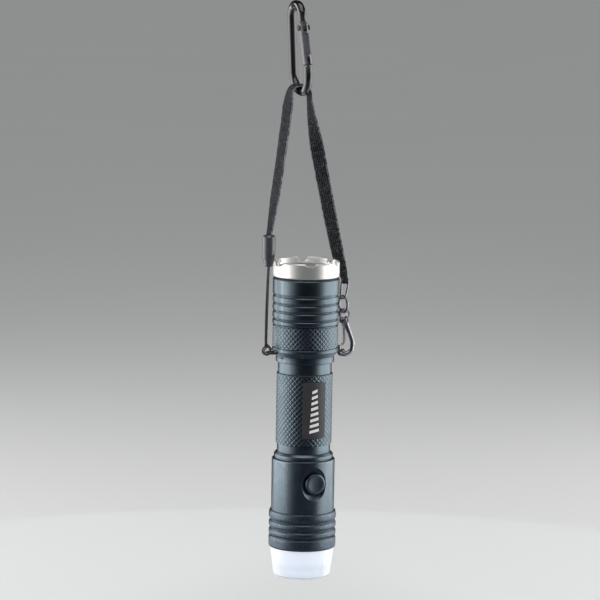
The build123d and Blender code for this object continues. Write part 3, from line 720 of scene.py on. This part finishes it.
def collar():
    """Ribbed collar: three rounded ribs between grooves, and a plain lower band."""
    radius, top, end = extent("tail_collar")
    neck, neck_top, _ = extent("diffuser_seal")
    spigot, spigot_end, floor = radius - 2.8, 139.0, radius - 1.1
    bore = spigot - 1.1
    outline = [(spigot, top), (radius - 0.6, top, 0.12), (radius - 0.3, top + 0.2, 0.12)]
    middles = (133.8, 138.0, 142.1)
    for start, middle in zip((top - 0.5,) + middles, middles):
        outline += rib(start + 0.8, middle - 0.3, radius)
        outline += [(floor, middle - 0.2, 0.05), (floor, middle + 0.2, 0.05)]
    outline += [(radius - 0.5, middles[-1] + 0.3), (radius, middles[-1] + 1.1, 0.8),
                (radius, end - 0.6, 0.5), (radius - 0.3, end, 0.2), (neck, end), (neck, neck_top),
                (bore, neck_top), (bore, spigot_end), (spigot, spigot_end)]
    return fit(turned("ribbed_collar", softened(outline), 240), "collar_grip", "tail", "tail_collar")


def diffuser_cup():
    """Frosted cup: neck, tapering wall, rounded foot with a fine groove round it, flat bottom."""
    radius, top, end = extent("diffuser")
    neck, lip, foot, wall = extent("diffuser_seal")[0], extent("tail_collar")[2], radius - 1.8, 1.7
    groove, centre = foot - 0.85, 0.01
    outline = [(neck - wall, top), (neck, top), (neck, lip), (radius, lip, 0.15), (foot, end - 1.25, 0.8),
               (foot - 0.3, end - 1.0, 0.05), (groove, end - 0.95, 0.05), (groove, end - 0.65, 0.05),
               (foot - 0.4, end - 0.6, 0.1), (foot - 0.75, end, 0.45), (2.0, end), (centre, end),
               (centre, end - wall), (foot - wall - 0.6, end - wall, 1.2), (neck - wall, lip, 0.5)]
    return fit(turned("diffuser_cup", softened(outline)), "diffuser_white", "tail", "diffuser")


collar()
diffuser_cup()


# ---------------------------------------------------------------- strap

STRAP_WIDTH, STRAP_THICK, RIB_HEIGHT = 8.0, 1.1, 0.34
STRAP_END = 190.0
FOLD_LENGTH, FOLD_THICK = 11.0, 0.95
STRAND_RADIUS, BRAID_PITCH = 0.38, 1.1
# Routes are in metres, and lie where the CAD's solids do
STRAP_ROUTE = [
    (-0.0124, -0.0070, -0.1142), (-0.0078, -0.0046, -0.0816), (-0.0039, -0.0014, -0.0486),
    (-0.0028, 0.0, -0.0385), (0.0066, 0.0, -0.0385), (0.0070, 0.0006, -0.0486),
    (0.0144, 0.0052, -0.0866), (0.0228, 0.0108, -0.1261), (0.02627, 0.00784, -0.1373),
    (0.02665, 0.00775, -0.1395),
]
CORD_ROUTE = [(-0.0124, -0.0070, -0.1302), (-0.0132, -0.0071, -0.1506), (-0.01320, -0.00715, -0.1712)]
# Direction of the webbing's width, and its width as a share of 8 mm, at distances along it in millimetres
STRAP_FACING = [
    (0, (0.58, -0.81, 0), 0.56), (6, (0.58, -0.81, 0), 0.72), (18, (0.60, -0.80, 0), 0.97),
    (45, (0.62, -0.78, 0), 1.0), (66, (0.66, -0.75, 0), 1.0), (75, (0.342, -0.934, -0.10), 1.0),
    (90, (0.342, -0.934, -0.10), 1.0), (115, (0.91, -0.41, 0), 1.0), (150, (0.88, -0.47, 0), 1.0),
    (170, (0.86, -0.50, 0), 0.95), (178, (0.93, -0.20, 0), 0.66), (184, (0.94, 0.34, 0), 0.44),
    (STRAP_END, (0.94, 0.34, 0), 0.40),
]


def facing(distance):
    """Width direction and width share of the strap at a distance along it."""
    places, ways, shares = zip(*STRAP_FACING)
    way = Vector([float(np.interp(distance, places, values)) for values in zip(*ways)])
    return way.normalized(), float(np.interp(distance, places, shares))


def webbing(name, line, face, thick=STRAP_THICK, spacing=0.2, columns=7, pitch=1.25, highlight_edge_band=0.82,
            thinnest=0.12):
    """Flat plain-woven webbing along a line: raised yarn floats in staggered columns on both faces, and
    firm edges. face(distance) gives the width's direction and share."""
    even, tangents, along = evenly(line, spacing)
    samples = columns * 4
    rings, heights = [], []
    for place, tangent, distance in zip(even, tangents, along):
        tangent = Vector(tangent)
        way, share = face(distance)
        way = (way - tangent * way.dot(tangent)).normalized()
        normal = tangent.cross(way)
        width = STRAP_WIDTH * share
        ring = []
        for side in (1, -1):
            for step in range(samples + 1):
                place_across = step / samples * side * 2 - side
                column = (place_across + 1) / 2 * columns
                whole = min(int(column), columns - 1)
                inside = abs(2 * (column - whole) - 1)
                phase = distance / pitch + (0.5 if whole % 2 else 0.0) + (0.5 if side < 0 else 0.0)
                float_height = (1 - inside ** 4) * (0.15 + 0.85 * abs(cos(pi * phase)))
                edge = (1 - abs(place_across) ** 6) ** 0.5 if abs(place_across) < 1 else 0.0
                lift = (thick / 2 - RIB_HEIGHT) * edge + RIB_HEIGHT * float_height * edge
                ring.append(Vector(place) + way * place_across * width / 2
                            + normal * side * max(lift, thinnest))
                # Relief for the yarn finish: outside the edge band a point gets full height, so the edges
                # are painted pale as painted highlights
                heights.append(1.0 if abs(place_across) > highlight_edge_band else 0.8 * float_height)
        rings.append(ring)
    return keep_relief(swept(name, rings, 50.0), heights)


def strap():
    """Wrist strap over the carabiner, from the ferrule to the wire loop behind the head."""
    line = route_line(STRAP_ROUTE)
    piece = webbing("wrist_strap", line, facing)
    fit(piece, "strap_webbing", "head", "strap")
    return piece, line


def sewn_fold(line):
    """The strap's end: down in front of the strap, round the loop's bar and up behind it."""
    even, _, along = evenly(line, 0.5)
    total = along[-1]
    wire_radius, turn_radius, clear, closed_by, lead = 0.5, 1.1, 0.75, 0.5, 2.0
    x, y, _ = even[-1]
    centre = Vector((x, y, level(extent("strap_loop")[1] + wire_radius)))
    front = spoke(20)
    flap = []
    for place, distance in zip(even, along):
        back = total - distance
        if 1.5 < back < FOLD_LENGTH:
            flap.append(Vector(place) + front * (clear + closed_by * (1 - back / FOLD_LENGTH)))
    turn_down = [centre + front * (cos(turn) + 0.4) - Vector((0, 0, turn_radius * sin(turn)))
                 for turn in (pi * step / 6 for step in range(1, 6))]
    smooth = route_line(metres(flap[::4] + turn_down))
    start = total - evenly(smooth, 0.3)[2][-1] + lead
    piece = webbing("strap_fold", smooth, lambda distance: facing(min(total, start + distance)),
                    FOLD_THICK)
    return fit(piece, "strap_webbing", "head"), smooth


def stitches(line):
    """Four rows of thread across the fold."""
    even, tangents, _ = evenly(line, 0.25)
    thread, apart, half, sunk, proud = 0.13, 0.19, 0.45, 0.3, 0.66
    threads = []
    for share in (0.45, 0.6, 0.75, 0.9):
        index = int(share * (len(even) - 1))
        place, tangent = Vector(even[index]), Vector(tangents[index])
        way, width = facing(STRAP_END - share * 10)
        way = (way - tangent * way.dot(tangent)).normalized()
        out = tangent.cross(way).normalized()
        if out.dot(spoke(110)) < 0:
            out = -out
        for step in range(5):
            middle = (step - 2) * apart * STRAP_WIDTH * width
            ends = [place + way * (middle - half) + out * sunk, place + way * middle + out * proud,
                    place + way * (middle + half) + out * sunk]
            threads.append(bar("thread", ends, thread))
    return fit(joined("strap_stitches", threads), "cord_black", "head")


def ferrule():
    """Moulded sleeve over the joint of strap and cord: rounded top, long taper, small lip at the foot."""
    low, high = (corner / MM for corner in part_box("strap_ferrule"))
    middle_x, middle_y = (low.x + high.x) / 2, (low.y + high.y) / 2
    radius, length = (high.x - low.x) / 2, high.z - low.z
    cord_hole, strap_hole, columns = 1.0, 1.2, 64
    outline = softened([(cord_hole, 0), (2.3, 0, 0.25), (2.35, 0.7, 0.2), (2.2, 0.95, 0.2),
                        (radius - 0.2, 4.2, 2.0), (radius, 6.2, 2.0), (radius, length - 1.0, 0.6),
                        (radius - 0.7, length, 0.4), (strap_hole, length), (strap_hole, length - 1.2),
                        (cord_hole, length - 1.4)])
    rings = []
    for step in range(columns):
        angle = 2 * pi * step / columns
        rings.append([(middle_x + r * sin(angle), middle_y - r * cos(angle), low.z + z)
                      for r, z in outline])
    return fit(swept("ferrule", rings, closed=True), "ferrule_black", "head", "strap_ferrule")


def thin_cord():
    """Doubled thin cord: two strands side by side, slowly turning round each other."""
    line = route_line(CORD_ROUTE)
    even, _, along = evenly(line, 0.4)
    first, twist, aside = -40, 70, 0.37
    strands = []
    for side in (-1, 1):
        path = []
        for place, distance in zip(even, along):
            turn = radians(first + twist * distance / along[-1])
            path.append(Vector(place) + Vector((cos(turn), sin(turn), 0)) * side * aside)
        strands.append(braided("strand", path))
    piece = joined("thin_cord", strands)
    fit(piece, "cord_black", "head", "lanyard_cord")
    return piece, line


def braided(name, path, radius=STRAND_RADIUS, sides=16, spacing=0.12, ridges=0.09):
    """Thin round braid: fine crossed ridges round a bar."""
    even, tangents, along = evenly(path, spacing)
    normal = Vector((0, 1, 0))
    rings, heights = [], []
    for place, tangent, distance in zip(even, tangents, along):
        tangent = Vector(tangent)
        normal = (normal - tangent * normal.dot(tangent)).normalized()
        side = tangent.cross(normal)
        ring = []
        for step in range(sides):
            turn = 2 * pi * step / sides
            slant = 2 * pi * distance / BRAID_PITCH
            ridge = cos(2 * turn + slant) * cos(2 * turn - slant)
            way = normal * cos(turn) + side * sin(turn)
            ring.append(Vector(place) + way * radius * (1 + ridges * ridge))
            heights.append(0.5 + 0.5 * ridge)
        rings.append(ring)
    return keep_relief(swept(name, rings, 70.0), heights)


def knot():
    """Lark's head of the thin cord on the left eyelet. Its route's points are given along the eyelet,
    out from the torch and up."""
    low, high = (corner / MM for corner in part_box("eyelet_left"))
    out, along, distance = spoke(290), spoke(20), 20.9
    centre = Vector((AXIS_X, 0, (low.z + high.z) / 2)) + out * distance
    half = [(-0.38, 0.0, 4.6), (-0.45, -0.9, 3.8), (-0.5, -2.1, 2.2), (-0.6, -1.7, -0.5),
            (-0.8, 0.0, -1.05), (-1.15, 1.5, -0.5), (-1.3, 1.9, 1.4), (-1.35, 0.6, 3.3),
            (-1.2, -1.4, 2.9), (-0.6, -2.4, 1.9)]
    route = half + [(0.0, -2.5, 1.7)] + [(-a, o, z) for a, o, z in reversed(half)]
    places = [centre + along * a + out * o + Vector((0, 0, z)) for a, o, z in route]
    piece = braided("larks_head", route_line(metres(places)), radius=0.4)
    return fit(piece, "cord_black", "head", "cord_knot")


strap_piece, strap_line = strap()
fold_piece, fold_line = sewn_fold(strap_line)
stitch_piece = stitches(fold_line)
ferrule()
cord_piece, cord_line = thin_cord()
knot_piece = knot()


# ---------------------------------------------------------------- stage, light and camera

def stage():
    """Plain pale floor a little below the torch, and over it a disc that only reflections see, dark
    in front and lit towards the sides and back."""
    reach, drop = 40000.0, 45.0
    height = CAD_BOX[0].z / MM - drop
    floor = mesh_object("floor", [(-reach, -reach, height), (reach, -reach, height),
                                  (reach, reach, height), (-reach, reach, height)], [(0, 1, 2, 3)])
    paint = Finish("floor_paint", (0.62, 0.62, 0.615), 0.8)
    paint.patches((0.57, 0.57, 0.57), 3, 3, 0.0, 0.15, 0.3, 0.7)
    floor.data.materials.append(paint.material)
    floor.visible_glossy = False
    disc_radius, sides, lift = 380, 48, 1
    turns = [2 * pi * step / sides for step in range(sides)]
    rim = [(AXIS_X + disc_radius * cos(turn), disc_radius * sin(turn), height + lift) for turn in turns]
    near = mesh_object("near_floor", rim, [tuple(range(sides))])
    glow = Finish("near_floor_paint", (0.075, 0.10, 0.135), 0.8, Emission_Strength=0.8)
    glow.shader.inputs["Emission Color"].default_value = (0, 0, 0, 1)
    glow.patches((0.065, 0.09, 0.12), 3, 3, 0.0, 0.15, 0.3, 0.7)
    apart = glow.node("ShaderNodeSeparateXYZ")
    glow.link(glow.place, apart.inputs[0])
    aside = glow.math("ABSOLUTE", glow.math("SUBTRACT", apart.outputs["X"], AXIS_X * MM), 0)
    outward = glow.math("ADD", aside, glow.math("MULTIPLY", apart.outputs["Y"], 0.6))
    glow.tint(glow.ramp(outward, 0.0, 1.0, 0.09, 0.2), (0.9, 0.95, 1.0), "Emission Color")
    near.data.materials.append(glow.material)
    near.visible_camera = near.visible_diffuse = near.visible_shadow = False


def softbox(name, place, aim, wide, high, power, colour=(1, 1, 1)):
    """Area light in metres and watts, turned to its aim, that the camera doesn't see."""
    light = bpy.data.lights.new(name, "AREA")
    light.shape = "RECTANGLE"
    light.size, light.size_y = wide, high
    light.energy = power
    light.color = colour
    lamp = bpy.data.objects.new(name, light)
    bpy.context.scene.collection.objects.link(lamp)
    way = Vector(aim) - Vector(place)
    lamp.matrix_world = Matrix.Translation(place) @ way.to_track_quat("-Z", "Y").to_matrix().to_4x4()
    lamp.visible_camera = False


def light_up():
    """A wide key softbox and a narrow dim wing on each side, one softbox overhead, a faint blue fill from
    the front, and an even surround that metal doesn't mirror."""
    middle = Vector((AXIS_X * MM, 0, level(80) * MM))
    lowered = middle - Vector((0, 0, 0.02))
    distance, high = 0.75, 1.1
    for name, turn, wide, power in (("key_left", -100, 1.05, 10.0), ("wing_left", -54, 0.32, 0.7),
                                    ("wing_right", 62, 0.2, 0.35), ("key_right", 102, 1.1, 9.8)):
        softbox(name, lowered + spoke(turn) * distance, lowered, wide, high, power)
    softbox("top", middle + Vector((0, -0.18, 0.92)), middle, 0.8, 0.8, 3.4)
    softbox("front_fill", middle + Vector((0.1, -2.4, 0.3)), middle, 2.2, 2.2, 0.35, (0.3, 0.55, 1.0))
    world = bpy.data.worlds.new("surround")
    bpy.context.scene.world = world
    world.use_nodes = True
    background = world.node_tree.nodes["Background"]
    background.inputs["Color"].default_value = (0.80, 0.81, 0.82, 1)
    background.inputs["Strength"].default_value = 0.62
    world.cycles_visibility.glossy = False


def camera():
    """Slightly raised camera, pitched down, at the distance that gives the object's perspective."""
    pitch, roll, back, above, aside = 7.8, 0.94, 1500.0, 185.0, -3.0
    lens = bpy.data.cameras.new("camera")
    lens.sensor_width = 36.0
    lens.lens = 178.0
    lens.clip_end = 100.0
    eye = bpy.data.objects.new("camera", lens)
    bpy.context.scene.collection.objects.link(eye)
    place = Vector((AXIS_X + aside, -back, RIM + above)) * MM
    eye.matrix_world = (Matrix.Translation(place) @ Matrix.Rotation(radians(90 - pitch), 4, "X")
                        @ Matrix.Rotation(radians(roll), 4, "Z"))
    bpy.context.scene.camera = eye


stage()
light_up()
camera()
bpy.context.scene.view_settings.view_transform = "Standard"
